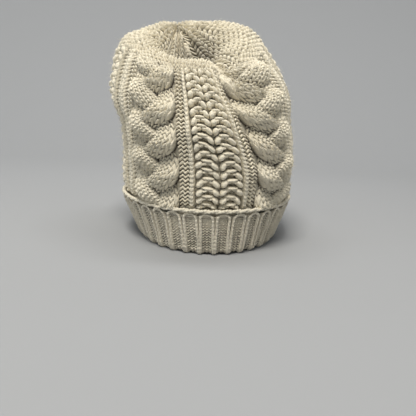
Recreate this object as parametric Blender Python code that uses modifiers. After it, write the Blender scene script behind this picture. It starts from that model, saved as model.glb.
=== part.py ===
"""Cable-knit beanie with a turned-up ribbed cuff, modelled as it sits on a head.

Metres, +Z up. The origin is the centre of the head opening, in the plane of the rim.
-Y is the face of the hat with the ladder-stitch panel in its middle, and +X is on its right.

The hat is one knitted tube. It runs up from the rim as a wall, and from the shoulder it is drawn
in to a gather. The gather lies off centre, so the crown stands in a high lobe behind it.
"""

import math

import bmesh
import bpy

# ---- driving dimensions ----
RIM_HALF_WIDTH = 0.0665  # outside of the body fabric at the rim, side to side
RIM_HALF_DEPTH = 0.0885  # the same, front to back, where the rim narrows less
BAND_HALF_WIDTH = 0.0800  # side to side at the cuff's top edge, where the head is wide
BULGE_HALF_WIDTH = 0.0835  # side to side where the slack fabric stands out above the cuff
DEPTH_RATIO = 1.18  # a head is longer, front to back, than it is wide
FABRIC = 0.0050  # thickness of one layer of knitting
GAP = 0.0003  # between two pieces that touch
CUFF_HEIGHT = 0.0410

SHOULDER_HEIGHT = 0.1600  # where the wall turns in to the crown, at the back
SHOULDER_TILT = 0.0420  # how much lower the shoulder is in front
BULGE_RISE = 0.0120  # the height in which the fabric swells out above the cuff
WALL_SPREAD = 0.0010  # half width gained from there to the shoulder
LEAN = 0.0190  # how far the slack fabric leans to -X at the shoulder
SHOULDER_ROUNDING = 0.30  # in stations along the meridian, as body_point counts them
SHOULDER_REACH = 0.75  # how far from the shoulder the rounding reaches

GATHER = (-0.0340, -0.0120, 0.1920)  # where the crown is drawn together
GATHER_SHARE = 0.06  # of the way from the gather to the shoulder: the hole in the middle
LOBE_HEIGHT = 0.0275  # how far the crown stands above a straight line to the gather
LOBE_SWING = 0.0045  # more than that on the +X side, and less on the other
FRONT_LOBE_HEIGHT = 0.0040
LOBE_CREST = 0.66  # share of the way out from the gather at which a lobe is highest
LIP_HEIGHT = 0.0160  # the front rolls over in a lip, with a valley between it and the gather
LIP_SHARE = 0.70
LIP_WIDTH = 0.22
VALLEY_DEPTH = 0.0140
VALLEY_SHARE = 0.40
VALLEY_WIDTH = 0.18

CREASE_ANGLE = math.radians(24.0)  # the fold between the front panel and the +X cable
CREASE_WIDTH = math.radians(9.0)
CREASE_DEPTH = 0.0090
NOTCH_ANGLE = math.radians(180.0)  # the fold that runs back from the gather
NOTCH_WIDTH = math.radians(14.0)
NOTCH_DEPTH = 0.0070

YARN_RADIUS = 0.0012
EDGE_RADIUS = 0.0018  # of the chained cast-on edge along the top of the cuff
CINCH_SHARE = 0.55  # the cinch ring's size against the hole that it lies in
CAST_ON_TAIL_LENGTH = 0.0350  # of the yarn end that the cast-on left
TAIL_CLEARANCE = 0.0010  # between that end and the body's inner face
TAIL_ANGLE = math.radians(-100.0)  # the way that the crown's yarn end is led, inside
TAIL_START = 0.16  # share of the way out from the gather
TAIL_END = 0.55
TAIL_DROP = 0.0082  # straight down from the outer face
TAIL_STEPS = 12

# ---- resolution ----
AROUND = 60
BAND_RINGS = 3  # behind the cuff
UPPER_RINGS = 24  # from the cuff's top edge to the gather

CREAM = (0.74, 0.68, 0.55)
CREAM_SHADE = (0.66, 0.61, 0.50)


# ---- the shape of the fabric's outer face ----
def mix(start, end, share):
    return start + (end - start) * share


def half_width(z):
    """Half the width of the body at height z on the wall."""
    if z <= CUFF_HEIGHT:
        return RIM_HALF_WIDTH + (BAND_HALF_WIDTH - RIM_HALF_WIDTH) * z / CUFF_HEIGHT
    above = z - CUFF_HEIGHT
    swell = (BULGE_HALF_WIDTH - BAND_HALF_WIDTH) * (1 - math.exp(-above / BULGE_RISE))
    share = above / (SHOULDER_HEIGHT - CUFF_HEIGHT)
    return BAND_HALF_WIDTH + swell + WALL_SPREAD * share**3


def half_depth(z):
    """Half the depth of the body at height z, front to back."""
    if z <= CUFF_HEIGHT:
        return mix(RIM_HALF_DEPTH, BAND_HALF_WIDTH * DEPTH_RATIO, z / CUFF_HEIGHT)
    return half_width(z) * DEPTH_RATIO


def lean(z):
    """How far the middle of the section at height z has moved to -X."""
    share = max(0.0, (z - CUFF_HEIGHT) / (SHOULDER_HEIGHT - CUFF_HEIGHT))
    return -LEAN * share**4


def facing_front(angle):
    """1 at the face of the hat and 0 at its back, at an angle counted from -Y towards +X."""
    return (1 + math.cos(angle)) / 2


def shoulder(angle):
    """The height at which the wall ends."""
    return SHOULDER_HEIGHT - SHOULDER_TILT * facing_front(angle) ** 2


def bell(value, centre, width):
    """1 at the centre, and 0 away from it."""
    return math.exp(-(((value - centre) / width) ** 2))


def fold(angle, centre, width):
    """1 in the middle of a fold, and 0 away from it."""
    return bell(math.remainder(angle - centre, math.tau), 0.0, width)


def wall_point(angle, z, inset=0.0):
    """A point on the wall, inset from its outer face."""
    crease = CREASE_DEPTH * fold(angle, CREASE_ANGLE, CREASE_WIDTH)
    rise = max(0.0, (z - CUFF_HEIGHT) / (shoulder(angle) - CUFF_HEIGHT))
    pulled_in = inset + crease * rise**3
    x = (half_width(z) - pulled_in) * math.sin(angle) + lean(z)
    y = -(half_depth(z) - pulled_in) * math.cos(angle)
    return x, y, z


def lobe_profile(share):
    """The lobe's height from 0 at the gather, over the crest, to 0 at the shoulder."""
    if share < LOBE_CREST:
        return math.sin(0.5 * math.pi * share / LOBE_CREST)
    return 1 - ((share - LOBE_CREST) / (1 - LOBE_CREST)) ** 4


def crown_rise(angle, share):
    """How far the crown stands above straight lines from the gather to the shoulder."""
    front = facing_front(angle) ** 3
    lobe = mix(LOBE_HEIGHT + LOBE_SWING * math.sin(angle), FRONT_LOBE_HEIGHT, front)
    lobe -= NOTCH_DEPTH * fold(angle, NOTCH_ANGLE, NOTCH_WIDTH)
    crease = CREASE_DEPTH * fold(angle, CREASE_ANGLE, CREASE_WIDTH) * math.sin(math.pi * share)
    lip = LIP_HEIGHT * bell(share, LIP_SHARE, LIP_WIDTH)
    valley = VALLEY_DEPTH * bell(share, VALLEY_SHARE, VALLEY_WIDTH)
    return lobe * lobe_profile(share) - crease + front * (lip - valley)


def crown_point(angle, share):
    """A point on the crown, share of the way out from the gather to the shoulder."""
    x, y, z = wall_point(angle, shoulder(angle))
    height = mix(GATHER[2], z, share) + crown_rise(angle, share)
    return mix(GATHER[0], x, share), mix(GATHER[1], y, share), height


def body_point(angle, station):
    """A point on the body: station 0 is the cuff's top edge, 1 the shoulder and 2 the gather."""
    if station < 1:
        return wall_point(angle, mix(CUFF_HEIGHT, shoulder(angle), station))
    return crown_point(angle, 2 - station)


def rounded_point(angle, station):
    """The same point, averaged along the meridian so that the shoulder is a soft turn."""
    reach = SHOULDER_ROUNDING * max(0.0, 1 - abs(station - 1) / SHOULDER_REACH)
    points = [body_point(angle, station + reach * step / 3) for step in range(-3, 4)]
    return tuple(sum(values) / len(points) for values in zip(*points))


def angles():
    return [math.tau * i / AROUND for i in range(AROUND)]


# ---- making objects ----
def clear_scene():
    for old in list(bpy.data.objects):
        bpy.data.objects.remove(old, do_unlink=True)


def material(name, colour, roughness):
    made = bpy.data.materials.new(name)
    made.use_nodes = True
    shader = made.node_tree.nodes["Principled BSDF"]
    shader.inputs["Base Color"].default_value = (*colour, 1.0)
    shader.inputs["Roughness"].default_value = roughness
    shader.inputs["Metallic"].default_value = 0.0
    return made


def add_object(name, data, collection, finish):
    made = bpy.data.objects.new(name, data)
    data.materials.append(finish)
    collection.objects.link(made)
    return made


def loft(name, rings, collection, finish, closed_section=False):
    """Quads between rings of the same number of points; a closed section joins last to first."""
    shape = bmesh.new()
    rows = [[shape.verts.new(point) for point in ring] for ring in rings]
    if closed_section:
        rows.append(rows[0])
    for lower, upper in zip(rows, rows[1:]):
        for i in range(len(lower)):
            j = (i + 1) % len(lower)
            shape.faces.new((lower[i], lower[j], upper[j], upper[i]))
    bmesh.ops.recalc_face_normals(shape, faces=shape.faces)
    data = bpy.data.meshes.new(name)
    shape.to_mesh(data)
    shape.free()
    data.shade_smooth()
    return add_object(name, data, collection, finish)


def yarn(name, points, radius, collection, finish, cyclic=False):
    """A length of yarn along a smooth line of points."""
    line = bpy.data.curves.new(name, "CURVE")
    line.dimensions = "3D"
    line.bevel_depth = radius
    line.bevel_resolution = 2
    line.use_fill_caps = not cyclic
    spline = line.splines.new("POLY")
    spline.points.add(len(points) - 1)
    for slot, point in zip(spline.points, points):
        slot.co = (*point, 1.0)
    spline.use_cyclic_u = cyclic
    return add_object(name, line, collection, finish)


# ---- the pieces ----
def build_body(collection):
    """The knitted tube, from just above the fold at the rim to the gather at the crown."""
    rings = []
    foot = FABRIC + GAP
    for row in range(BAND_RINGS):
        height = mix(foot, CUFF_HEIGHT, row / BAND_RINGS)
        rings.append([wall_point(a, height) for a in angles()])
    for row in range(UPPER_RINGS + 1):
        station = (2 - GATHER_SHARE) * row / UPPER_RINGS
        rings.append([rounded_point(a, station) for a in angles()])
    body = loft("cabled_body", rings, collection, material("cream_knit", CREAM, 0.92))
    thickness = body.modifiers.new("fabric", "SOLIDIFY")
    thickness.thickness = FABRIC
    thickness.offset = -1.0
    thickness.use_even_offset = True
    return body


def build_cuff(collection):
    """The end of the tube, folded at the rim and turned up outside the body."""
    outward = -(GAP + FABRIC)
    top = CUFF_HEIGHT - 2 * EDGE_RADIUS - GAP
    section = [
        (0.0, FABRIC),
        (0.0, outward),
        (top / 2, outward),
        (top, outward),
        (top, -GAP),
        (top / 2, -GAP),
        (FABRIC, -GAP),
        (FABRIC, FABRIC),
    ]
    rings = [[wall_point(a, z, inset) for a in angles()] for z, inset in section]
    finish = material("cream_rib", CREAM_SHADE, 0.92)
    return loft("turned_cuff", rings, collection, finish, closed_section=True)


def build_cast_on_edge(collection):
    """The chained edge that the knitting was begun with, now along the top of the cuff."""
    finish = material("cast_on_edge_yarn", CREAM, 0.90)
    height = CUFF_HEIGHT - EDGE_RADIUS
    inset = -(GAP + FABRIC / 2)
    points = [wall_point(a, height, inset) for a in angles()]
    return yarn("cast_on_edge", points, EDGE_RADIUS, collection, finish, cyclic=True)


def build_crown_cinch(collection):
    """The ring of yarn that was run through the last stitches and pulled tight."""
    finish = material("cinch_yarn", CREAM, 0.90)
    edge = [crown_point(a, GATHER_SHARE * CINCH_SHARE) for a in angles()[::2]]
    points = [(x, y, GATHER[2] - FABRIC / 2) for x, y, z in edge]
    return yarn("crown_cinch_yarn", points, YARN_RADIUS, collection, finish, cyclic=True)


def build_crown_tail(collection):
    """The end of the cinch yarn, worked in along the inside of the crown."""
    finish = material("crown_tail_yarn", CREAM_SHADE, 0.90)
    points = []
    for step in range(TAIL_STEPS + 1):
        share = mix(TAIL_START, TAIL_END, step / TAIL_STEPS)
        x, y, z = crown_point(TAIL_ANGLE, share)
        points.append((x, y, z - TAIL_DROP))
    return yarn("crown_yarn_tail", points, YARN_RADIUS, collection, finish)


def build_cast_on_tail(collection):
    """The yarn end from the cast-on edge, worked in along the inside of the body at the back."""
    finish = material("cast_on_tail_yarn", CREAM_SHADE, 0.90)
    inset = FABRIC + YARN_RADIUS + TAIL_CLEARANCE
    spread = CAST_ON_TAIL_LENGTH / BAND_HALF_WIDTH
    turns = [math.pi + spread * (step / TAIL_STEPS - 0.5) for step in range(TAIL_STEPS + 1)]
    points = [wall_point(turn, CUFF_HEIGHT / 2, inset) for turn in turns]
    return yarn("cast_on_yarn_tail", points, YARN_RADIUS, collection, finish)


def main():
    clear_scene()
    hat = bpy.data.collections.new("knit_beanie")
    bpy.context.scene.collection.children.link(hat)
    build_body(hat)
    build_cuff(hat)
    build_cast_on_edge(hat)
    build_crown_cinch(hat)
    build_crown_tail(hat)
    build_cast_on_tail(hat)


main()
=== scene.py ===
"""Looks of the cable-knit beanie: every stitch is relief on a fabric of the CAD part's shape.

The fabric's outer face is worked out once as a grid. Its columns run up the hat, from the rim over
the shoulder to the gather, and its rows run round it. The pattern is a height above that face, in
millimetres, made from the stitches that the hat is knitted in. The grid is then cut along its
columns into strips: one for each ladder panel, cable, purl gutter and rib. The cuff is a grid of
its own, the yarns are plied tubes, and loose fibres stand off the cabled fabric as a halo.
"""

import math

import bpy
import numpy as np
from mathutils import Matrix, Vector


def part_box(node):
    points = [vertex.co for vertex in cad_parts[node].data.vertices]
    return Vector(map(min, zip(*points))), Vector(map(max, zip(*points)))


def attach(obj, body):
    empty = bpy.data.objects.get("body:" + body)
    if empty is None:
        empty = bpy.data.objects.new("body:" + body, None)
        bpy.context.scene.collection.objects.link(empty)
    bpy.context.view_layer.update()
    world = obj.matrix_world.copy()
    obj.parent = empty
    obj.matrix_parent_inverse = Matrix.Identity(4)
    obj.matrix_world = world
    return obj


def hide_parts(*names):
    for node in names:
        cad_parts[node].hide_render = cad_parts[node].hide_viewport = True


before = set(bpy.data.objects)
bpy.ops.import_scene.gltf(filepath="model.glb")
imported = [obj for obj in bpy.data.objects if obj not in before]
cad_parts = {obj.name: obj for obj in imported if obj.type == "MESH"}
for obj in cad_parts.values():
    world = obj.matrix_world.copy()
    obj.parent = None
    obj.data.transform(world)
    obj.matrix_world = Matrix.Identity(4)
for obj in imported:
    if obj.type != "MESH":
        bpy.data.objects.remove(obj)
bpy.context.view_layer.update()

MM = 0.001
TAU = math.tau
UP = np.array([0.0, 0.0, 1.0])

# ---- read from the frame ----
CUFF_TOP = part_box("turned_cuff")[1][2]
EDGE_LOW, EDGE_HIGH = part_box("cast_on_edge")
CINCH_LOW, CINCH_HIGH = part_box("crown_cinch_yarn")
CUFF_HEIGHT = EDGE_HIGH[2]
EDGE_RADIUS = (EDGE_HIGH[2] - EDGE_LOW[2]) / 2
YARN_RADIUS = (CINCH_HIGH[2] - CINCH_LOW[2]) / 2

# ---- the fabric: the driving dimensions of the CAD part, in metres ----
RIM_HALF_WIDTH = 0.0645
RIM_HALF_DEPTH = 0.0885
BAND_HALF_WIDTH = 0.0800
BULGE_HALF_WIDTH = 0.0835
DEPTH_RATIO = 1.18
FABRIC = 0.0050
GAP = 0.0003
SHOULDER_HEIGHT = 0.1600
SHOULDER_TILT = 0.0420
BULGE_RISE = 0.0120
WALL_SPREAD = 0.0010
LEAN = 0.0190
SHOULDER_ROUNDING = 0.30
SHOULDER_REACH = 0.75
GATHER = (-0.0340, -0.0120, CINCH_LOW[2] + YARN_RADIUS + FABRIC / 2)
GATHER_SHARE = 0.06
CINCH_SHARE = 0.55
LOBE_HEIGHT = 0.0275
LOBE_SWING = 0.0045
FRONT_LOBE_HEIGHT = 0.0040
LOBE_CREST = 0.66
LIP_HEIGHT = 0.0160
LIP_SHARE = 0.70
LIP_WIDTH = 0.22
VALLEY_DEPTH = 0.0140
VALLEY_SHARE = 0.40
VALLEY_WIDTH = 0.18
PIT_SHADE_ANGLE = math.radians(22.0)  # where the painted shade in the valley is darkest
PIT_SHADE_WIDTH = math.radians(26.0)
CREASE_ANGLE = math.radians(24.0)
CREASE_WIDTH = math.radians(9.0)
CREASE_DEPTH = 0.0090
NOTCH_ANGLE = math.radians(180.0)
NOTCH_WIDTH = math.radians(14.0)
NOTCH_DEPTH = 0.0070
TAIL_ANGLE = math.radians(-100.0)
TAIL_START = 0.16
TAIL_END = 0.55
TAIL_DROP = 0.0082
CAST_ON_TAIL_LENGTH = 0.0350
TAIL_CLEARANCE = 0.0010

# ---- where the worn hat departs from that shape ----
RIM_SHIFT = 0.0025  # the rim sits a little askew, to +X
# Slack: the middle's angle and station, the reach in both, and how far the fabric hangs out
SLACK = (
    (math.radians(-90), 1.05, math.radians(50), 0.28, 0.0072),
    (math.radians(90), 0.72, math.radians(50), 0.22, -0.0020),
)

# ---- the wool's colours ----
CREAM = (0.82, 0.755, 0.605)
RIB_CREAM = (0.76, 0.70, 0.57)
# SHADE is painted shade: the colour the wool is darkened to deep between its stitches, by the openness
SHADE = (0.055, 0.042, 0.026)
DULLEST = (0.90, 0.89, 0.86)  # what blotches and fibres make of the colour, at most
FULLY_LIT = 0.60  # the openness from which a stitch has its whole colour

# ---- the stage, in metres ----
FLOOR_MIDDLE = -0.9  # y of the middle of the round floor
FLOOR_RADIUS = 1.4
BEND = 0.6
WALL_HEIGHT = 3.0
FLOOR_CLEARANCE = 0.0002  # the hat's lowest points above the floor
PAPER = (0.31, 0.315, 0.32)
HAT_MIDDLE = (-0.02, 0.0, 0.10)
# Of each light that points at the hat: its name, place, width and height, watts and colour
HAT_LIGHTS = (
    ("overhead", (-0.15, -0.62, 1.40), (0.5, 0.4), 19.5, (1.0, 0.965, 0.90)),
    ("front_fill", (-0.2, -1.3, 1.2), (1.0, 0.8), 2.2, (0.90, 0.95, 1.0)),
    ("left_fill", (-1.7, -0.60, 0.60), (0.8, 0.8), 5.2, (0.84, 0.92, 1.0)),
    ("right_fill", (1.7, -0.50, 0.60), (0.8, 0.8), 2.2, (0.84, 0.92, 1.0)),
)
WASHER_REACH = 1.2  # the wall's lights, from the floor's middle
WASHER_HEIGHT = 1.9
WASHER_SIZE = (1.6, 0.5)
WASHED_HEIGHT = 0.4  # where on the wall they point
WASHER_POWERS = (20, 4, 4, 4)  # in watts: at the back, the right, the front and the left
WORLD_COLOUR = (0.9, 0.93, 1.0)
WORLD_STRENGTH = 0.08
CAMERA_PLACE = (0.0026, -0.438, 0.122)
CAMERA_PITCH = math.radians(13.2)
CAMERA_ROLL = math.radians(2.8)
CAMERA_LENS = 37.2  # in millimetres, on a sensor 36 mm wide

# ---- the mesh: columns in blocks, so that the reverse face can be coarser ----
FINE = 4  # columns and rows in a block
REVERSE_STEP = FINE // 2
PANEL_BLOCKS, GUTTER_BLOCKS, CABLE_BLOCKS, RIB_BLOCKS = 26, 5, 25, 13
BLOCKS_AROUND = 4 * (PANEL_BLOCKS + GUTTER_BLOCKS + CABLE_BLOCKS + RIB_BLOCKS)
BAND_BLOCKS = 3  # rows of blocks behind the cuff
UPPER_BLOCKS = 100  # and from there to the gather
HIDDEN_MARGIN = 4.0  # mm of the patterned fabric that go down behind the cuff
PANEL_ANGLE = math.radians(8.0)  # the middle of the front panel
FIRST_ANGLE = PANEL_ANGLE - TAU * PANEL_BLOCKS / 2 / BLOCKS_AROUND

# ---- the knitting, in millimetres ----
ROW = 3.4  # height of a stitch
LADDER_ROW = 7.3
PANEL_WIDTH = 50.0
PANEL_FLOOR = -6.4  # the bottom of the gaps between the panel's stitches
# In each half of the panel and each ladder row: how far a stitch's middle is from the panel's
# middle, its height as a share of the row, its half length and half thickness, its tilt towards
# the panel's middle in degrees, and how high it stands
PANEL_STITCHES = (
    (17.2, 0.84, 4.7, 3.0, 48, 1.7),  # the slanted stitches outside the ladder
    (3.5, 0.84, 4.5, 3.0, -48, 1.7),  # and inside it
    (10.3, 0.37, 6.9, 1.90, 0, 0.8),  # the ladder's bar
    (13.2, 0.05, 3.5, 1.65, 8, 0.1),  # and the pair of loops between it and the next
    (7.4, 0.05, 3.5, 1.65, -8, 0.1),
)
PANEL_RIB = (23.4, 2.2, -2.6)  # the panel's side rib: its place, half width and foot
LADDER_CLOSES = (50.0, 105.0)  # heights between which the ladders' gaps fill up
WALE_RISE = 2.6  # of a column of knit stitches that stands up as a rib
WALE_STITCH = 1.4  # and of the stitches on it
RIB_EDGE = 0.33  # the share of a rib strip that is purl, at each side
RIB_FOOT = -3.0
GUTTER_FOOT = -4.0
PURL_RISE = 2.7
CROWN_ROW = 4.8
CROWN_WALES = 120
CROWN_FOOT = -3.2
CROWN_RISE = 4.4
CROWN_FROM = 0.86  # the share of the way out at which plain knitting takes over
CROWN_FULL = 0.68  # and at which nothing else is left
HALVED_AT = 1.38  # half the wales are left inside half this share of the way out, and so on
PLEATS = 19  # in the gathered middle
PLEAT_RISE = 2.6
CABLE_HALF = 25.0
CABLE_TURN = 81.0  # height in which a strand of the plait comes back to its place
STRAND_SWING = 14.5
STRAND_HALF = 10.0
PLAIT_FOOT = -3.4
STRAND_RISE = 5.6
CROSSING_RISE = 3.8  # how far a strand goes up over the others, and down under them
PLAIT_STITCH = 3.0
HIDDEN_HEIGHT = -2.6  # of the fabric behind the cuff, which is pressed flat
RIPPLE = 1.2  # slow unevenness of the fabric
CUFF_TIP = 0.0022  # radius of the cuff's round top, in metres
INNER_RISE = 0.006  # how far the cuff's section starts up inside the hat, in metres
CUFF_ROW = 2.3
CUFF_COLUMNS = 26  # mesh columns in a rib
CUFF_FINE = 0.34  # and the mesh rows' height
RIBS = 36  # repeats of the cuff's rib
RIBS_IN_PIECE = 6
TROUGH_HALF = 3.9  # between two pairs of ridges
TROUGH_FLOOR = -3.8
TROUGH_FOOT = -3.9
RIDGE_HALF = 1.45
RIDGE_FOOT = -3.2
RIDGE_RISE = 3.0
RIDGE_STITCH = 0.9
ARCH_DROP = 6.2  # how far below the edge the troughs' round tops begin
CUFF_RIPPLE = 0.6
RIB_ANGLE = math.radians(5.8)
DRAWN_SHARE = 0.02  # how far the cinch draws the crown in
# Painted shade: OPENNESS darkens the gaps between stitches, CROWN_SHADE the crown away from the front,
# and TROUGH_SHADE the cuff's troughs
OPENNESS = (0.62, 0.30, 0.13)  # of level fabric, and for each mm above the near and wide mean
CROWN_SHADE = 0.82  # of the crown's openness, away from the front
TROUGH_SHADE = 0.72  # and of the cuff's troughs
FIBRES_TRIED = 20000  # about three in four of them are kept
FIBRE_LENGTH = (0.0015, 0.0055)
FIBRE_RADIUS = 0.00006
FIBRE_ROOT = 0.0005  # how far a fibre starts under the surface
PULL = math.radians(16.0)  # the strips turn towards the front panel's middle at the top
PULL_ANGLE = math.radians(38.0)
PULL_WIDTH = math.radians(38.0)


# ---- the shape of the fabric's outer face, for arrays ----
def mix(start, end, share):
    return start + (end - start) * share


def smooth_step(low, high, value):
    share = np.clip((value - low) / (high - low), 0, 1)
    return share * share * (3 - 2 * share)


def half_width(z):
    band = mix(RIM_HALF_WIDTH, BAND_HALF_WIDTH, z / CUFF_HEIGHT)
    above = np.maximum(z - CUFF_HEIGHT, 0)
    swell = (BULGE_HALF_WIDTH - BAND_HALF_WIDTH) * (1 - np.exp(-above / BULGE_RISE))
    share = above / (SHOULDER_HEIGHT - CUFF_HEIGHT)
    return np.where(z <= CUFF_HEIGHT, band, BAND_HALF_WIDTH + swell + WALL_SPREAD * share**3)


def half_depth(z):
    band = mix(RIM_HALF_DEPTH, BAND_HALF_WIDTH * DEPTH_RATIO, z / CUFF_HEIGHT)
    return np.where(z <= CUFF_HEIGHT, band, half_width(z) * DEPTH_RATIO)


def facing_front(angle):
    return (1 + np.cos(angle)) / 2


def shoulder(angle):
    return SHOULDER_HEIGHT - SHOULDER_TILT * facing_front(angle) ** 2


def bell(value, centre, width):
    return np.exp(-(((value - centre) / width) ** 2))


def fold(angle, centre, width):
    return bell(np.mod(angle - centre + math.pi, TAU), math.pi, width)


def wall_point(angle, z, inset=0.0):
    crease = CREASE_DEPTH * fold(angle, CREASE_ANGLE, CREASE_WIDTH)
    rise = np.maximum((z - CUFF_HEIGHT) / (shoulder(angle) - CUFF_HEIGHT), 0)
    pulled_in = inset + crease * rise**3
    lean = LEAN * np.maximum((z - CUFF_HEIGHT) / (SHOULDER_HEIGHT - CUFF_HEIGHT), 0) ** 4
    askew = RIM_SHIFT * np.maximum(1 - z / CUFF_HEIGHT, 0)
    x = (half_width(z) - pulled_in) * np.sin(angle) - lean + askew
    y = -(half_depth(z) - pulled_in) * np.cos(angle)
    return np.stack([x, y, z + 0 * angle], axis=-1)


def crown_rise(angle, share):
    """How far the crown stands above straight lines from the gather to the shoulder."""
    front = facing_front(angle) ** 3
    lobe = mix(LOBE_HEIGHT + LOBE_SWING * np.sin(angle), FRONT_LOBE_HEIGHT, front)
    lobe = lobe - NOTCH_DEPTH * fold(angle, NOTCH_ANGLE, NOTCH_WIDTH)
    near = np.sin(0.5 * math.pi * np.minimum(share / LOBE_CREST, 1))
    far = 1 - (np.maximum(share - LOBE_CREST, 0) / (1 - LOBE_CREST)) ** 4
    crease = CREASE_DEPTH * fold(angle, CREASE_ANGLE, CREASE_WIDTH) * np.sin(math.pi * share)
    lip = LIP_HEIGHT * bell(share, LIP_SHARE, LIP_WIDTH)
    valley = VALLEY_DEPTH * bell(share, VALLEY_SHARE, VALLEY_WIDTH)
    return lobe * np.where(share < LOBE_CREST, near, far) - crease + front * (lip - valley)


def crown_point(angle, share):
    edge = wall_point(angle, shoulder(angle))
    point = mix(np.array(GATHER), edge, np.expand_dims(share, -1))
    point[..., 2] += crown_rise(angle, share)
    return point


def body_point(angle, station):
    """Station -1 is the foot of the body, 0 the cuff's top edge, 1 the shoulder, 2 the gather."""
    foot = FABRIC + GAP
    band = wall_point(angle, mix(CUFF_HEIGHT, foot, np.clip(-station, 0, 1)))
    wall = wall_point(angle, mix(CUFF_HEIGHT, shoulder(angle), np.clip(station, 0, 1)))
    crown = crown_point(angle, np.clip(2 - station, 0, 1))
    which = np.expand_dims(station, -1)
    return np.where(which < 0, band, np.where(which < 1, wall, crown))


def rounded_point(angle, station):
    reach = SHOULDER_ROUNDING * np.maximum(1 - np.abs(station - 1) / SHOULDER_REACH, 0)
    total = sum(body_point(angle, station + reach * step / 3) for step in range(-3, 4))
    return total / 7


# ---- helpers for patterns ----
def scatter(a, b, seed=0.0):
    """A number from -1 to 1 for each pair of whole numbers, the same on each run."""
    value = np.sin(a * 12.9898 + b * 78.233 + seed * 37.719) * 43758.5453
    return 2 * (value - np.floor(value)) - 1


def drift(angle, along, seed):
    """Slow waves from about -1 to 1, closed round the hat. along is in millimetres."""
    total = 0
    for k, (turns, length) in enumerate(((2, 90), (3, -61), (5, 43), (8, -29), (13, 21))):
        phase = scatter(k, seed) * math.pi
        total = total + np.sin(turns * angle + TAU * along / length + phase) / (k + 1.5)
    return total


def dome(off, sharp=2.0):
    """A round bump: 1 at off = 0, down to 0 at off = -1 and 1."""
    return np.sqrt(np.clip(1 - np.abs(off) ** sharp, 0, 1))


def blurred(values, reach):
    """values averaged over a square of 2 * reach + 1 grid points a side, closed round the hat."""
    turned = sum(np.roll(values, step, axis=0) for step in range(-reach, reach + 1))
    padded = np.pad(turned, ((0, 0), (reach, reach)), mode="edge")
    total = sum(padded[:, step : step + values.shape[1]] for step in range(2 * reach + 1))
    return total / (2 * reach + 1) ** 2


def openness(height):
    """Painted shade: from 0 in the gaps between stitches to 1 on top of them."""
    reach = 3
    near = height - blurred(height, reach)
    wide = height - blurred(height, 4 * reach)
    level, near_share, wide_share = OPENNESS
    return np.clip(level + near_share * near + wide_share * wide, 0, 1)


def yarn_at(along, across):
    """Where a point lies on its yarn: along it in thicknesses, and across it from -1 to 1."""
    return np.stack([along, across], axis=-1)


def knit(wale, row, rise=0.80, seed=0):
    """Knit stitches as columns of V shapes. wale and row count stitches. Height 0 to 1."""
    column = np.floor(wale)
    side = 2 * np.abs(wale - column - 0.5)
    half = np.where(wale - column < 0.5, 0.25, 0.75)
    phase = row - rise * side
    index = np.floor(phase)
    off = 2 * (phase - index) - 1
    size = 1 + 0.12 * scatter(column + half, index, seed)
    leg = dome(off * 1.04) * dome(0.94 * (2 * side - 1), 2.4)
    return leg * size, yarn_at(side * 1.8 + index, off)


def purl(wale, row, seed=0):
    """Purl stitches as wavy rows of interlocked bumps. Height 0 to 1."""
    wave = np.cos(TAU * wale)
    phase = row + 0.24 * wave
    index = np.floor(phase)
    off = 2 * (phase - index) - 1
    size = 1 + 0.12 * scatter(np.floor(wale + 0.5), index, seed)
    return dome(off * 1.30) * (0.84 + 0.16 * wave) * size, yarn_at(wale * 1.8, off)


class Relief:
    """A height in mm and yarn coordinates for each point, where the highest yarn laid wins."""

    def __init__(self, shape, floor):
        self.height = np.full(shape, floor, dtype=float)
        self.yarn = np.zeros(shape + (2,))

    def lay(self, height, yarn, where=True):
        over = where & (height > self.height)
        self.height[over] = height[over]
        self.yarn[over] = yarn[over]


# ---- the stitch patterns. across and along are in mm, or across is a share of the strip ----
def plump_stitches(relief, x, y, middle, level, size, tilt, top):
    """One plump stitch in each ladder row, at a slightly different place and tilt each time."""
    length, thickness = size
    for shift in (-1, 0, 1):
        index = np.floor(y / LADDER_ROW) + shift
        loose = scatter(index, middle, 5)
        turn = math.radians(tilt) + 0.16 * loose
        right = x - middle - 0.5 * scatter(index, middle, 6)
        up = y - (index + level) * LADDER_ROW - 0.30 * scatter(index, middle, 7)
        reach = (right * np.cos(turn) + up * np.sin(turn)) / length
        off = (up * np.cos(turn) - right * np.sin(turn)) / thickness
        off = off / (0.30 + 0.70 * np.clip(1 - reach**2, 0, 1))
        rise = dome(off, 2.4) * dome(reach, 3)
        height = PANEL_FLOOR + (top + 0.4 * loose - PANEL_FLOOR) * rise
        within = (np.abs(reach) < 1) & (np.abs(off) < 1)
        relief.lay(height, yarn_at(reach * length / 2, off), within)


def ladder_panel(across, along):
    """Two ladders between columns of big slanted stitches, with a rib at each side."""
    closed = smooth_step(*LADDER_CLOSES, along)
    rib_middle, rib_half, rib_foot = PANEL_RIB
    relief = Relief(across.shape, PANEL_FLOOR)
    relief.height += 2.6 * closed
    x = (across - 0.5) * PANEL_WIDTH
    for side in (-1, 1):
        for middle, level, length, thickness, tilt, top in PANEL_STITCHES:
            fuller = thickness * (1 + 0.25 * closed)
            size = (length, fuller)
            plump_stitches(relief, x, along, side * middle, level, size, -side * tilt, top)
        reach = (x - side * rib_middle) / rib_half
        stitch, yarn = knit(reach * 0.5 + 0.5, along / ROW, rise=0.45)
        height = rib_foot + WALE_RISE * dome(0.96 * reach) + WALE_STITCH * stitch
        relief.lay(height, yarn, np.abs(reach) < 1)
    return relief


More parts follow.
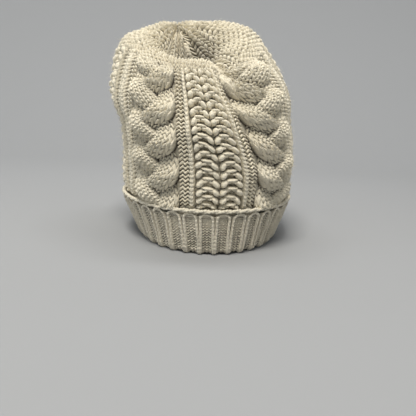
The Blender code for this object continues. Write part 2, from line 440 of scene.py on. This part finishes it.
def plait(across, along, mirrored):
    """A cable of three strands. Each passes over to the middle, and under to the other side."""
    relief = Relief(across.shape, PLAIT_FOOT)
    across = -across if mirrored else across
    for strand in range(3):
        turn = TAU * (along / CABLE_TURN + strand / 3)
        slope = STRAND_SWING * TAU / CABLE_TURN * np.cos(turn)
        length = np.sqrt(1 + slope**2)
        off = (across - STRAND_SWING * np.sin(turn)) / length
        over = np.sin(2 * turn)
        body = dome(off / STRAND_HALF, 2.6)
        run = along * 1.22 + 0.35 * STRAND_SWING * np.sin(turn) + slope * off
        stitch, yarn = knit(off / 4.2 + 0.5, run / 3.9, seed=strand)
        back = PLAIT_FOOT + STRAND_RISE * body + CROSSING_RISE * over
        height = back + PLAIT_STITCH * (stitch - 0.55)
        relief.lay(height, yarn, np.abs(off) < STRAND_HALF)
    return relief


def purl_gutter(across, along, wales):
    """Wavy rows of purl bumps. wales is how many stitches the strip is wide."""
    relief = Relief(across.shape, -math.inf)
    stitch, yarn = purl(across * wales, along / ROW)
    relief.lay(GUTTER_FOOT + PURL_RISE * stitch, yarn)
    return relief


def rib_gutter(across, along):
    """Two knit wales that stand up between two narrow purl gutters."""
    relief = purl_gutter(across, along, 6)
    stitch, yarn = knit((across - RIB_EDGE) / (1 - 2 * RIB_EDGE) * 2, along / ROW)
    reach = (across - 0.5) / (0.5 - RIB_EDGE)
    height = RIB_FOOT + WALE_RISE * dome(reach, 3) + WALE_STITCH * stitch
    relief.lay(height, yarn, np.abs(reach) < 1)
    return relief


def crown_knit(angle, along, share):
    """Plain knitting drawn in to the gather: half as many wales each time they get too narrow."""
    halvings = np.clip(np.floor(np.log2(HALVED_AT / np.maximum(share, 0.02))), 0, 3)
    stitch, yarn = knit(angle / TAU * CROWN_WALES / 2**halvings, along / CROWN_ROW, seed=3)
    pleats = np.cos(angle * PLEATS + 1.5 * drift(angle, along, 9))
    gathered = smooth_step(0.55, 0.10, share)
    return CROWN_FOOT + CROWN_RISE * stitch + PLEAT_RISE * pleats * gathered, yarn


# ---- the grid ----
def regions():
    """The strips in order round the hat: (name, kind, first block, last block, mirrored)."""
    found = []
    block = 0
    sides = (("front", "right"), ("right", "back"), ("back", "left"), ("left", "front"))
    for panel, following in sides:
        wide_first = panel in ("right", "left")
        inner = [("rib", RIB_BLOCKS), ("cable", CABLE_BLOCKS), ("gutter", GUTTER_BLOCKS)]
        if not wide_first:
            inner.reverse()
        for kind, blocks in [("panel", PANEL_BLOCKS), *inner]:
            name = f"{kind}_{panel}" if kind == "panel" else f"{kind}_{panel}_{following}"
            found.append((name, kind, block, block + blocks, wide_first))
            block += blocks
    return found


def slack(angle, station):
    total = 0
    for middle, level, width, reach, amount in SLACK:
        total = total + amount * fold(angle, middle, width) * bell(station, level, reach)
    return total


def fabric_grid():
    """Angles, distances above the cuff in mm, crown shares and points of the outer face."""
    columns = BLOCKS_AROUND * FINE
    angle = FIRST_ANGLE + TAU * np.arange(columns) / columns
    below = np.linspace(-1, 0, 12, endpoint=False)
    stations = np.concatenate([below, np.linspace(0, 2 - DRAWN_SHARE, 500)])
    dense = rounded_point(*np.meshgrid(angle, stations, indexing="ij"))
    step = np.linalg.norm(np.diff(dense, axis=1), axis=-1) / MM
    length = np.concatenate([np.zeros((columns, 1)), np.cumsum(step, axis=1)], axis=1)
    cuff_at = length[:, len(below)]
    station = []
    for column, start in zip(length, cuff_at - HIDDEN_MARGIN):
        hidden = np.linspace(0, start, BAND_BLOCKS * FINE, endpoint=False)
        shown = np.linspace(start, column[-1], UPPER_BLOCKS * FINE + 1)
        station.append(np.interp(np.concatenate([hidden, shown]), column, stations))
    station = np.array(station)
    grid_angle = np.repeat(angle[:, None], station.shape[1], axis=1)
    pull = PULL * fold(grid_angle, PULL_ANGLE, PULL_WIDTH)
    grid_angle = grid_angle - pull * smooth_step(0.2, 1.4, station)
    points = rounded_point(grid_angle, station)
    points = points + normals_of(points) * slack(grid_angle, station)[..., None]
    step = np.linalg.norm(np.diff(points, axis=1), axis=-1) / MM
    along = np.concatenate([np.zeros((columns, 1)), np.cumsum(step, axis=1)], axis=1)
    return grid_angle, along - cuff_at[:, None], np.clip(2 - station, 0, 1), points


def normals_of(points, closed=True):
    """Unit normals of a grid of points: columns first, then rows."""
    if closed:
        across = np.roll(points, -1, axis=0) - np.roll(points, 1, axis=0)
    else:
        across = np.gradient(points, axis=0)
    up = np.gradient(points, axis=1)
    normal = np.cross(across, up)
    return normal / np.maximum(np.linalg.norm(normal, axis=-1, keepdims=True), 1e-12)


def strip_relief(kind, mirrored, across, along):
    if kind == "panel":
        return ladder_panel(across, along)
    if kind == "cable":
        return plait((2 * across - 1) * CABLE_HALF, along, mirrored)
    if kind == "gutter":
        return purl_gutter(across, along, 2)
    return rib_gutter(across, along)


def pattern_heights(angle, along, share):
    """The whole hat's relief in mm, and its yarn coordinates."""
    height = np.empty(angle.shape)
    yarn = np.empty(angle.shape + (2,))
    sideways = 0.012 * drift(angle, along, 1)
    rows = along + 0.8 * drift(angle, along, 2)
    for _, kind, first, last, mirrored in regions():
        cut = slice(first * FINE, last * FINE)
        across = (np.arange(first * FINE, last * FINE) / FINE - first) / (last - first)
        across = across[:, None] + sideways[cut] * np.sin(math.pi * across[:, None])
        relief = strip_relief(kind, mirrored, across, rows[cut])
        height[cut], yarn[cut] = relief.height, relief.yarn
    plain, plain_yarn = crown_knit(angle, rows, share)
    front = fold(angle, PANEL_ANGLE, math.radians(24))
    to_crown = smooth_step(CROWN_FROM - 0.08 * front, CROWN_FULL, share)
    yarn = np.where(to_crown[..., None] > 0.5, plain_yarn, yarn)
    return mix(height, plain, to_crown), yarn


# ---- meshes ----
def mesh_object(name, points, faces, normals, layers, finish):
    """A mesh from arrays. faces is a list of arrays, each of faces with one number of corners."""
    data = bpy.data.meshes.new(name)
    corners = np.concatenate([f.reshape(-1) for f in faces]).astype(np.int32)
    sizes = np.concatenate([np.full(len(f), f.shape[1]) for f in faces])
    starts = np.concatenate([[0], np.cumsum(sizes)[:-1]]).astype(np.int32)
    data.vertices.add(len(points))
    data.vertices.foreach_set("co", points.astype(np.float32).reshape(-1))
    data.loops.add(len(corners))
    data.loops.foreach_set("vertex_index", corners)
    data.polygons.add(len(sizes))
    data.polygons.foreach_set("loop_start", starts)
    data.update(calc_edges=True)
    for layer, values in layers.items():
        kind = "FLOAT" if values.ndim == 1 else "FLOAT_VECTOR"
        field = "value" if values.ndim == 1 else "vector"
        made = data.attributes.new(layer, kind, "POINT")
        made.data.foreach_set(field, values.astype(np.float32).reshape(-1))
    data.shade_smooth()
    data.validate()
    if normals is not None:
        data.normals_split_custom_set_from_vertices(normals.astype(np.float32))
    data.materials.append(finish)
    made = bpy.data.objects.new(name, data)
    bpy.context.scene.collection.objects.link(made)
    return made


def grid_faces(columns, rows, first=0, flip=False):
    """Quads of a grid whose vertices are numbered column by column."""
    i, j = np.meshgrid(np.arange(columns - 1), np.arange(rows - 1), indexing="ij")
    at = (first + i * rows + j).reshape(-1)
    quads = np.stack([at, at + rows, at + rows + 1, at + 1], axis=1)
    return quads[:, ::-1] if flip else quads


def tube_faces(columns, rows, cyclic=False):
    """Quads of a tube: each column of the grid is a loop, and a cyclic tube has no ends."""
    last = columns if cyclic else columns - 1
    i, j = np.meshgrid(np.arange(last), np.arange(rows), indexing="ij")
    ahead, above = (i + 1) % columns, (j + 1) % rows
    corners = [i * rows + j, ahead * rows + j, ahead * rows + above, i * rows + above]
    faces = [np.stack([corner.reshape(-1) for corner in corners], axis=1)]
    if not cyclic:
        faces.append(np.arange(rows)[None])
        faces.append(((columns - 1) * rows + np.arange(rows)[::-1])[None])
    return faces


def capped_tube(name, side, finish):
    """A tube with flat ends, from a grid whose columns are loops."""
    points, normals = side["points"].reshape(-1, 3), side["normals"].reshape(-1, 3)
    layers = {"depth": side["depth"].reshape(-1), "yarn": side["yarn"].reshape(-1, 3)}
    faces = tube_faces(*side["points"].shape[:2])
    return mesh_object(name, points, faces, normals, layers, finish)


def border(columns, rows, first):
    """The vertices round a grid's edge, in order."""
    last = first + (columns - 1) * rows
    bottom = first + np.arange(columns) * rows
    far = last + np.arange(rows)
    top = bottom[::-1] + rows - 1
    near = first + np.arange(rows)[::-1]
    return np.concatenate([bottom[:-1], far[:-1], top[:-1], near[:-1]])


def closed_strip(name, outer, reverse, finish):
    """A strip of fabric: its fine outer face, its coarser reverse face and the edge between."""
    outer_shape, reverse_shape = outer["points"].shape[:2], reverse["points"].shape[:2]
    count = outer_shape[0] * outer_shape[1]
    faces = [
        grid_faces(*outer_shape),
        grid_faces(*reverse_shape, first=count, flip=True),
    ]
    fine = border(*outer_shape, 0)
    coarse = border(*reverse_shape, count)
    step = len(fine) // len(coarse)
    walls = []
    for k in range(len(coarse)):
        run = [fine[(k * step + n) % len(fine)] for n in range(step + 1)]
        walls.append(run[::-1] + [coarse[k], coarse[(k + 1) % len(coarse)]])
    faces.append(np.array(walls))
    points = np.concatenate([outer["points"].reshape(-1, 3), reverse["points"].reshape(-1, 3)])
    normals = np.concatenate([outer["normals"].reshape(-1, 3), reverse["normals"].reshape(-1, 3)])
    layers = {}
    for layer in ("depth", "yarn"):
        shape = (-1,) if layer == "depth" else (-1, 3)
        layers[layer] = np.concatenate([outer[layer].reshape(shape), reverse[layer].reshape(shape)])
    return mesh_object(name, points, faces, normals, layers, finish)


def yarn_layer(yarn, seed):
    """Yarn coordinates as vectors: along the yarn, across it, and a number for the piece."""
    return np.concatenate([yarn, np.full(yarn.shape[:-1] + (1,), float(seed))], axis=-1)


def reverse_face(angle, along, share, base, face):
    """The inside of the hat: purl bumps on a face about one fabric thickness in from the base."""
    stitch, _ = purl(angle / TAU * 120, along / ROW)
    thick = FABRIC / MM * mix(0.15, 0.95, smooth_step(0.0, 0.25, share))
    bumps = (0.5 - 0.8 * stitch) * (share > 0.15)
    points = base - face * ((thick + bumps) * MM)[..., None]
    step = REVERSE_STEP
    points = points[::step, ::step]
    return {
        "points": points,
        "normals": -normals_of(points),
        # Painted shade: darker between the purl bumps
        "depth": np.clip(0.75 - 0.5 * (1 - stitch[::step, ::step]), 0, 1),
        "yarn": np.zeros(points.shape),
    }


def hollow_shade(angle, share):
    """How much painted shade darkens the valley in front of the gather and the pit beside it, from 0
    to 1.
    """
    slope = 0.40 * facing_front(angle) ** 2 * bell(share, 0.34, 0.18)
    pit = 0.55 * fold(angle, PIT_SHADE_ANGLE, PIT_SHADE_WIDTH) * bell(share, 0.40, 0.20)
    return slope + pit


def outer_face(angle, along, share, base, face):
    height, yarn = pattern_heights(angle, along, share)
    front, wall = facing_front(angle) ** 3, smooth_step(0.7, 1.0, share)
    height = mix(height, HIDDEN_HEIGHT, smooth_step(1.0, -3.0, along))
    ripple = RIPPLE * drift(angle, along, 4) * smooth_step(0, 30, along)
    # Painted shade: lit darkens the valley and pit in front of the gather, and the crown away from the
    # front
    lit = (1 - hollow_shade(angle, share)) * mix(CROWN_SHADE, 1.0, np.maximum(front, wall))
    points = base + face * ((height + ripple) * MM)[..., None]
    return {
        "points": points,
        "normals": normals_of(points),
        "depth": openness(height) * lit,
        "yarn": yarn_layer(yarn, 0),
    }


def fibre_roots(outer, share, draw):
    """Where the loose fibres stand, and which way the fabric faces there: few near the gather."""
    columns, rows = outer["points"].shape[:2]
    column = draw.integers(0, columns, FIBRES_TRIED)
    row = draw.integers((BAND_BLOCKS + 2) * FINE, rows, FIBRES_TRIED)
    kept = draw.random(FIBRES_TRIED) < share[column, row]
    column, row = column[kept], row[kept]
    return outer["points"][column, row], outer["normals"][column, row]


def fibre_points(root, face, draw):
    """Eight points for each fibre: its root, two rings of three and its tip."""
    way = 0.6 * face + draw.normal(0, 0.5, root.shape)
    way = way / np.linalg.norm(way, axis=1, keepdims=True)
    length = draw.uniform(*FIBRE_LENGTH, (len(root), 1))
    bend = draw.normal(0, 0.2, root.shape) * length
    side = np.cross(way, UP)
    side = side / np.linalg.norm(side, axis=1, keepdims=True)
    turns = (0, TAU / 3, 2 * TAU / 3)
    spread = [side * math.cos(t) + np.cross(way, side) * math.sin(t) for t in turns]
    low, high = root + 0.35 * length * way + 0.5 * bend, root + 0.75 * length * way + 0.8 * bend
    lower = [low + FIBRE_RADIUS * out for out in spread]
    upper = [high + 0.6 * FIBRE_RADIUS * out for out in spread]
    foot = root - FIBRE_ROOT * face
    return np.stack([foot, *lower, *upper, root + length * way], axis=1)


def fibre_faces(count):
    """The faces of count bent spindles of eight points, as triangles and quads."""
    first = 8 * np.arange(count)[:, None]
    after = (1, 2, 0)
    foot = [first + [0, 1 + after[k], 1 + k] for k in range(3)]
    shaft = [first + [1 + k, 1 + after[k], 4 + after[k], 4 + k] for k in range(3)]
    tip = [first + [4 + k, 4 + after[k], 7] for k in range(3)]
    return [np.concatenate(foot + tip), np.concatenate(shaft)]


def build_halo(outer, share, finish):
    """Loose fibres that stand off the cabled fabric: each is a bent spindle of three sides."""
    draw = np.random.default_rng(11)
    points = fibre_points(*fibre_roots(outer, share, draw), draw)
    count = len(points)
    layers = {"depth": np.full(8 * count, 0.9), "yarn": np.zeros((8 * count, 3))}
    flat = points.reshape(-1, 3)
    halo = mesh_object("wool_halo", flat, fibre_faces(count), None, layers, finish)
    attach(halo, "root")


def columns_of(side, first, last, step):
    """The columns of one face that a strip from block first to block last takes."""
    count = len(side["points"])
    chosen = np.arange(first * FINE // step, last * FINE // step + 1) % count
    return {layer: values[chosen] for layer, values in side.items()}


def build_body(finish):
    """The cabled body, cut into its strips."""
    angle, along, share, base = fabric_grid()
    face = normals_of(base)
    outer = outer_face(angle, along, share, base, face)
    reverse = reverse_face(angle, along, share, base, face)
    for name, _, first, last, _ in regions():
        front = columns_of(outer, first, last, 1)
        back = columns_of(reverse, first, last, REVERSE_STEP)
        piece = closed_strip(name, front, back, finish)
        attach(piece, "root")
        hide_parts("cabled_body")
    build_halo(outer, share, finish)


# ---- the cuff ----
def cuff_path():
    """The cuff's closed section, as insets and heights.

    It starts inside the hat and runs round the fold, up to the top edge and down behind the cuff.
    """
    radius = FABRIC + GAP / 2
    middle = -GAP / 2
    tip = CUFF_TIP
    behind = middle - radius + 2 * tip
    inner = [(middle + radius - 0.0012, radius + INNER_RISE), (middle + radius, radius + 0.001)]
    turn = np.linspace(0, math.pi, 26)
    bend = [(middle + radius * math.cos(t), radius - radius * math.sin(t)) for t in turn]
    rise = [(middle - radius, z) for z in np.linspace(radius + 0.0004, CUFF_TOP - tip, 60)]
    over = np.linspace(0, math.pi, 14)[1:]
    cap = [(behind - tip - tip * math.cos(t), CUFF_TOP - tip + tip * math.sin(t)) for t in over]
    down = [(behind, CUFF_TOP - tip - 0.004), (behind, radius + 0.002)]
    return np.array(inner + bend + rise + cap + down)


def rib_relief(angle, up, across):
    """Pairs of ridges between troughs of purl rows. up and across, the girth, are in mm."""
    turn = (angle - RIB_ANGLE) / TAU * RIBS + 0.03 * drift(angle, up, 6)
    spot = (turn - np.floor(turn) - 0.5) * across / RIBS
    above = np.maximum(up - (CUFF_HEIGHT / MM - ARCH_DROP), 0)
    past = np.hypot(spot, above) - TROUGH_HALF
    relief = Relief(angle.shape, TROUGH_FLOOR)
    arcs, yarn = purl(spot / TROUGH_HALF * 1.25, up / CUFF_ROW, seed=7)
    relief.lay(TROUGH_FOOT + PURL_RISE * arcs, yarn, past < 0)
    reach = (past - RIDGE_HALF) / RIDGE_HALF
    leg, yarn = knit(reach * 0.5 + 0.5, up / CUFF_ROW / 1.5, rise=0.45, seed=8)
    height = RIDGE_FOOT + RIDGE_RISE * dome(reach, 2.2) + RIDGE_STITCH * leg
    relief.lay(height, yarn, np.abs(reach) < 1)
    return relief


def cuff_rows(path):
    """How far along the section its points and the mesh's rows lie. Rows are close where it shows."""
    run = np.concatenate([[0], np.cumsum(np.linalg.norm(np.diff(path, axis=0), axis=1))])
    fine = np.arange(0.004, run[-3], CUFF_FINE * MM)
    behind = [run[-3], run[-2], mix(run[-2], run[-1], 0.5), run[-1]]
    return run, np.concatenate([[0, 0.002], fine, behind])


def cuff_face():
    """The whole cuff's face as a grid of closed loops, with its relief."""
    path = cuff_path()
    run, rows = cuff_rows(path)
    columns = RIBS * CUFF_COLUMNS
    turn = FIRST_ANGLE + TAU * np.arange(columns) / columns
    angle, at = np.meshgrid(turn, rows, indexing="ij")
    base = wall_point(angle, np.interp(at, run, path[:, 1]), np.interp(at, run, path[:, 0]))
    step = np.linalg.norm(base - np.roll(base, 1, axis=0), axis=-1)
    fold_length = math.pi * (FABRIC + GAP / 2)
    up = (at - fold_length / 2 - INNER_RISE) / MM
    relief = rib_relief(angle, up, columns * step / MM)
    end = run[-3]
    outside = smooth_step(0.003, 0.009, at) * smooth_step(end, end - 0.004, at)
    height = mix(0.3 * np.minimum(relief.height, 0), relief.height, outside)
    ripple = CUFF_RIPPLE * drift(angle, up, 11)
    points = base + normals_of(base) * ((height + ripple) * MM)[..., None]
    points[..., 2] = np.maximum(points[..., 2], FLOOR_CLEARANCE)
    return {
        "points": points,
        "normals": normals_of(points),
        # Painted shade: darker in the gaps between stitches, and further in the troughs
        "depth": openness(height) * mix(TROUGH_SHADE, 1.0, smooth_step(-2.6, -1.0, height)),
        "yarn": yarn_layer(relief.yarn, 0),
    }


def build_cuff(finish):
    """The ribbed cuff, in pieces of a few ribs each."""
    outer = cuff_face()
    width = RIBS_IN_PIECE * CUFF_COLUMNS
    for number in range(RIBS // RIBS_IN_PIECE):
        chosen = np.arange(number * width, (number + 1) * width + 1) % (RIBS * CUFF_COLUMNS)
        part = {layer: values[chosen] for layer, values in outer.items()}
        piece = capped_tube(f"ribbed_cuff_{number + 1}", part, finish)
        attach(piece, "root")
        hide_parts("turned_cuff")


# ---- plied yarns ----
def sideways_of(line, cyclic):
    """Two unit vectors at each point of a line, square to it: the first is level."""
    if cyclic:
        ahead = np.roll(line, -1, axis=0) - np.roll(line, 1, axis=0)
    else:
        ahead = np.gradient(line, axis=0)
    ahead = ahead / np.linalg.norm(ahead, axis=1, keepdims=True)
    side = np.cross(ahead, UP)
    side = side / np.linalg.norm(side, axis=1, keepdims=True)
    return side, np.cross(side, ahead)


def plied_yarn(name, line, radius, finish, cyclic=False, twist=0.0050, plies=3, bead=0.0):
    """A tube along a line of points, in metres, with plies that wind round it once in a twist.

    Where bead is given, the yarn also swells and narrows once in that length.
    """
    sides = 14
    side, top = sideways_of(line, cyclic)
    step = np.linalg.norm(line - np.roll(line, 1, axis=0), axis=1)
    run = np.cumsum(step) - step[0]
    total = run[-1] + step[0] if cyclic else run[-1]
    turn = TAU * np.arange(sides) / sides
    wind = run / total * round(total / twist)
    bulge = np.abs(np.cos((plies * turn[None] - TAU * wind[:, None]) / 2))
    size = radius * (0.60 + 0.44 * bulge)
    if bead:
        swell = np.abs(np.sin(math.pi * run / total * round(total / bead)))
        size = size * (0.58 + 0.52 * np.sqrt(swell))[:, None]
    if not cyclic:
        size = size * np.maximum(dome(2 * run / total - 1, 40), 0.02)[:, None]
    right, up = np.cos(turn)[None, :, None], np.sin(turn)[None, :, None]
    spread = right * side[:, None] + up * top[:, None]
    points = line[:, None] + spread * size[..., None]
    along = np.repeat(run[:, None] / MM, sides, axis=1)
    layers = {
        # Painted shade: darker in the grooves between the plies
        "depth": (0.35 + 0.6 * bulge).reshape(-1),
        "yarn": np.stack([along, bulge, 0 * bulge], axis=-1).reshape(-1, 3),
    }
    faces = tube_faces(len(line), sides, cyclic)
    return mesh_object(name, points.reshape(-1, 3), faces, None, layers, finish)


def build_yarns(finish):
    """The cast-on edge, the cinch and the two worked-in ends."""
    turns = FIRST_ANGLE + TAU * np.arange(1600) / 1600
    height = CUFF_HEIGHT - EDGE_RADIUS + 0.0004 * drift(turns, 0, 12)
    edge = wall_point(turns, height, -(GAP + FABRIC / 2 + 0.0012))
    small = TAU * np.arange(72) / 72
    hole = crown_point(small, np.full(72, GATHER_SHARE * CINCH_SHARE))
    hole[:, 2] = GATHER[2] - FABRIC / 2
    shares = np.linspace(TAIL_START, TAIL_END, 60)
    tail = crown_point(np.full(60, TAIL_ANGLE), shares)
    tail[:, 2] -= TAIL_DROP
    spread = CAST_ON_TAIL_LENGTH / BAND_HALF_WIDTH
    back = math.pi + spread * np.linspace(-0.5, 0.5, 60)
    woven = wall_point(back, np.full(60, CUFF_HEIGHT / 2), FABRIC + YARN_RADIUS + TAIL_CLEARANCE)
    beaded = {"cyclic": True, "twist": 0.0090, "plies": 2, "bead": 0.0030}
    made = [
        ("beaded_cast_on_edge", "cast_on_edge", edge, EDGE_RADIUS * 0.95, beaded),
        ("crown_cinch", "crown_cinch_yarn", hole, YARN_RADIUS, {"cyclic": True}),
        ("crown_woven_end", "crown_yarn_tail", tail, YARN_RADIUS, {}),
        ("cast_on_woven_end", "cast_on_yarn_tail", woven, YARN_RADIUS, {}),
    ]
    for name, node, line, radius, lay in made:
        piece = plied_yarn(name, line, radius, finish, **lay)
        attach(piece, "root")
        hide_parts(node)


# ---- materials ----
def add_node(tree, kind, inputs, **settings):
    """A new node. Each of its inputs is set to a value, or linked where it's given a socket."""
    node = tree.nodes.new(f"ShaderNode{kind}")
    for name, value in settings.items():
        setattr(node, name, value)
    for name, value in inputs.items():
        if isinstance(value, bpy.types.NodeSocket):
            tree.links.new(value, node.inputs[name])
        else:
            node.inputs[name].default_value = value
    return node


def add_ramp(tree, share, *stops):
    """A colour ramp with two stops, each a position and a colour."""
    ramp = add_node(tree, "ValToRGB", {"Fac": share})
    for element, (position, colour) in zip(ramp.color_ramp.elements, stops):
        element.position = position
        element.color = (*colour, 1)
    return ramp.outputs["Color"]


def wool_colour(tree, place, fibre, light, shade):
    """Painted shade deep between the stitches and the wool's light colour on top of them, both a
    little blotchy.
    """
    depth = add_node(tree, "Attribute", {}, attribute_name="depth").outputs["Fac"]
    base = add_ramp(tree, depth, (0.0, shade), (FULLY_LIT, light))
    blotch = add_node(tree, "TexNoise", {"Vector": place, "Scale": 45, "Detail": 4})
    part = add_node(tree, "Math", {0: blotch.outputs["Fac"], 1: 0.55}, operation="MULTIPLY")
    both = {0: fibre, 1: 0.45, 2: part.outputs[0]}
    uneven = add_node(tree, "Math", both, operation="MULTIPLY_ADD").outputs[0]
    vary = add_ramp(tree, uneven, (0.30, DULLEST), (0.70, (1.0, 1.0, 1.0)))
    product = {"data_type": "RGBA", "blend_type": "MULTIPLY"}
    tone = add_node(tree, "Mix", {"Factor": 1.0, "A": base, "B": vary}, **product)
    return tone.outputs["Result"]


def wool_bump(tree, fibre):
    """Bump from the yarn's plies, which follow the mesh's yarn coordinates, and its fibres."""
    yarn = add_node(tree, "Attribute", {}, attribute_name="yarn").outputs["Vector"]
    wave = {"Vector": yarn, "Scale": 0.55, "Distortion": 1.5, "Detail": 2}
    plies = add_node(tree, "TexWave", wave, bands_direction="DIAGONAL").outputs["Fac"]
    relief = add_node(tree, "Math", {0: plies, 1: 0.5, 2: fibre}, operation="MULTIPLY_ADD")
    height = relief.outputs[0]
    bump = add_node(tree, "Bump", {"Strength": 0.55, "Distance": 0.0005, "Height": height})
    return bump.outputs["Normal"]


def wool(name, light, shade):
    """Soft plied wool: painted shade in the depth of the knitting, with fibres and a fuzzy sheen."""
    made = bpy.data.materials.new(name)
    made.use_nodes = True
    tree = made.node_tree
    shader = tree.nodes["Principled BSDF"]
    shader.inputs["Roughness"].default_value = 0.95
    shader.inputs["Specular IOR Level"].default_value = 0.15
    shader.inputs["Sheen Weight"].default_value = 0.35
    shader.inputs["Sheen Roughness"].default_value = 0.6
    shader.inputs["Sheen Tint"].default_value = (1.0, 0.97, 0.90, 1.0)
    place = add_node(tree, "TexCoord", {}).outputs["Object"]
    fine = {"Vector": place, "Scale": 1400, "Detail": 5, "Roughness": 0.7}
    fibre = add_node(tree, "TexNoise", fine).outputs["Fac"]
    colour = wool_colour(tree, place, fibre, light, shade)
    tree.links.new(colour, shader.inputs["Base Color"])
    tree.links.new(wool_bump(tree, fibre), shader.inputs["Normal"])
    return made


def plain(name, colour, roughness):
    made = bpy.data.materials.new(name)
    made.use_nodes = True
    shader = made.node_tree.nodes["Principled BSDF"]
    shader.inputs["Base Color"].default_value = (*colour, 1)
    shader.inputs["Roughness"].default_value = roughness
    return made


# ---- the stage: floor, lights and camera ----
def build_stage():
    """A pale round floor that sweeps up into a wall all round."""
    bend = np.linspace(0, math.pi / 2, 14)
    profile = [(0.01, 0.0), *zip(FLOOR_RADIUS + BEND * np.sin(bend), BEND - BEND * np.cos(bend))]
    profile.append((FLOOR_RADIUS + BEND, WALL_HEIGHT))
    turns = TAU * np.arange(97) / 96
    rings = [[(r * math.cos(t), FLOOR_MIDDLE + r * math.sin(t), z) for r, z in profile] for t in turns]
    points = np.array(rings).reshape(-1, 3)
    faces = grid_faces(len(turns), len(profile))
    paper = plain("pale_paper", PAPER, 0.9)
    mesh_object("studio_sweep", points, [faces], None, {}, paper)


def area_light(name, place, target, size, power, colour):
    data = bpy.data.lights.new(name, "AREA")
    data.shape = "RECTANGLE"
    data.size, data.size_y = size
    data.energy = power
    data.color = colour
    made = bpy.data.objects.new(name, data)
    bpy.context.scene.collection.objects.link(made)
    made.location = place
    aim(made, target)
    return made


def aim(thing, target, roll=0.0):
    way = Vector(target) - thing.location
    turn = way.to_track_quat("-Z", "Y").to_matrix().to_4x4()
    turn = turn @ Matrix.Rotation(roll, 4, "Z")
    thing.matrix_world = Matrix.Translation(thing.location) @ turn


def build_wall_lights():
    """Lights that hang round the floor and point outwards, so that the wall is lit all round."""
    middle = np.array([0, FLOOR_MIDDLE])
    for number, power in enumerate(WASHER_POWERS):
        turn = TAU * number / len(WASHER_POWERS)
        out = np.array([math.sin(turn), math.cos(turn)])
        place = (*(middle + WASHER_REACH * out), WASHER_HEIGHT)
        target = (*(middle + (FLOOR_RADIUS + BEND) * out), WASHED_HEIGHT)
        area_light(f"wall_{number + 1}", place, target, WASHER_SIZE, power, (1, 1, 1))


def build_lights():
    for name, place, size, power, colour in HAT_LIGHTS:
        area_light(name, place, HAT_MIDDLE, size, power, colour)
    build_wall_lights()
    world = bpy.data.worlds.new("studio")
    world.use_nodes = True
    background = world.node_tree.nodes["Background"]
    background.inputs["Color"].default_value = (*WORLD_COLOUR, 1)
    background.inputs["Strength"].default_value = WORLD_STRENGTH
    bpy.context.scene.world = world


def build_camera():
    data = bpy.data.cameras.new("camera")
    data.sensor_width = 36.0
    data.lens = CAMERA_LENS
    data.clip_start = 0.01
    camera = bpy.data.objects.new("camera", data)
    bpy.context.scene.collection.objects.link(camera)
    camera.location = CAMERA_PLACE
    x, y, z = CAMERA_PLACE
    aim(camera, (x, y + math.cos(CAMERA_PITCH), z - math.sin(CAMERA_PITCH)), CAMERA_ROLL)
    bpy.context.scene.camera = camera


def main():
    bpy.context.scene.view_settings.view_transform = "Standard"
    build_body(wool("cream_cable_wool", CREAM, SHADE))
    build_cuff(wool("cream_rib_wool", RIB_CREAM, SHADE))
    build_yarns(wool("cream_yarn_wool", CREAM, SHADE))
    build_stage()
    build_lights()
    build_camera()


main()
